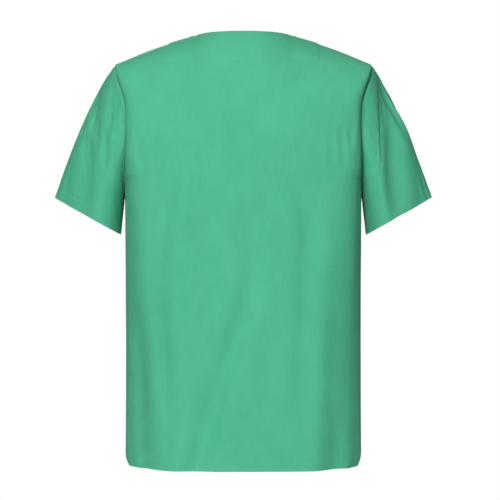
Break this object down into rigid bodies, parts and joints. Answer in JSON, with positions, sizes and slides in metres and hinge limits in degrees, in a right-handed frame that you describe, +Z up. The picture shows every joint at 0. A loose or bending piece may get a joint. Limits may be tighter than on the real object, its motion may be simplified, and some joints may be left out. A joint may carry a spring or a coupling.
{
  "type": "hospital slip-over top",
  "caption": "Loose short-sleeved slip-over hospital top with closed back, V neck, set-in sleeves, patch pockets and straight hem, shaped as worn.",
  "frame": {"origin": "midway between the two high points of the shoulders, where the shoulder seams meet the neck, which is where the wearer's shoulders carry the top", "axes": "+Z up, +Y to the wearer's back, +X to the wearer's left"},
  "size_m": [0.676, 0.2546, 0.768],
  "materials": {
    "body_cloth": "matt woven polyester-cotton poplin, mid green",
    "label_tape": "white woven satin tape, blank",
    "sewing_thread": "matt spun polyester thread, green"
  },
  "bodies": {
    "torso": {"back_panel": "body_cloth", "front_panel": "body_cloth", "back_neck_facing": "body_cloth", "front_neck_facing": "body_cloth", "chest_pocket": "body_cloth", "left_lower_pocket": "body_cloth", "right_lower_pocket": "body_cloth", "hanger_loop": "body_cloth", "size_label": "label_tape", "care_label": "label_tape"},
    "left_sleeve": {"left_sleeve": "body_cloth"},
    "right_sleeve": {"right_sleeve": "body_cloth"}
  },
  "joints": [
    {"name": "left_shoulder", "type": "hinge", "parent": "torso", "child": "left_sleeve", "pos_m": [0.2284, 0, -0.0495], "axis": [0, -1, 0], "range_deg": [0, 30]},
    {"name": "right_shoulder", "type": "hinge", "parent": "torso", "child": "right_sleeve", "pos_m": [-0.2284, 0, -0.0495], "axis": [0, 1, 0], "range_deg": [0, 30]}
  ]
}
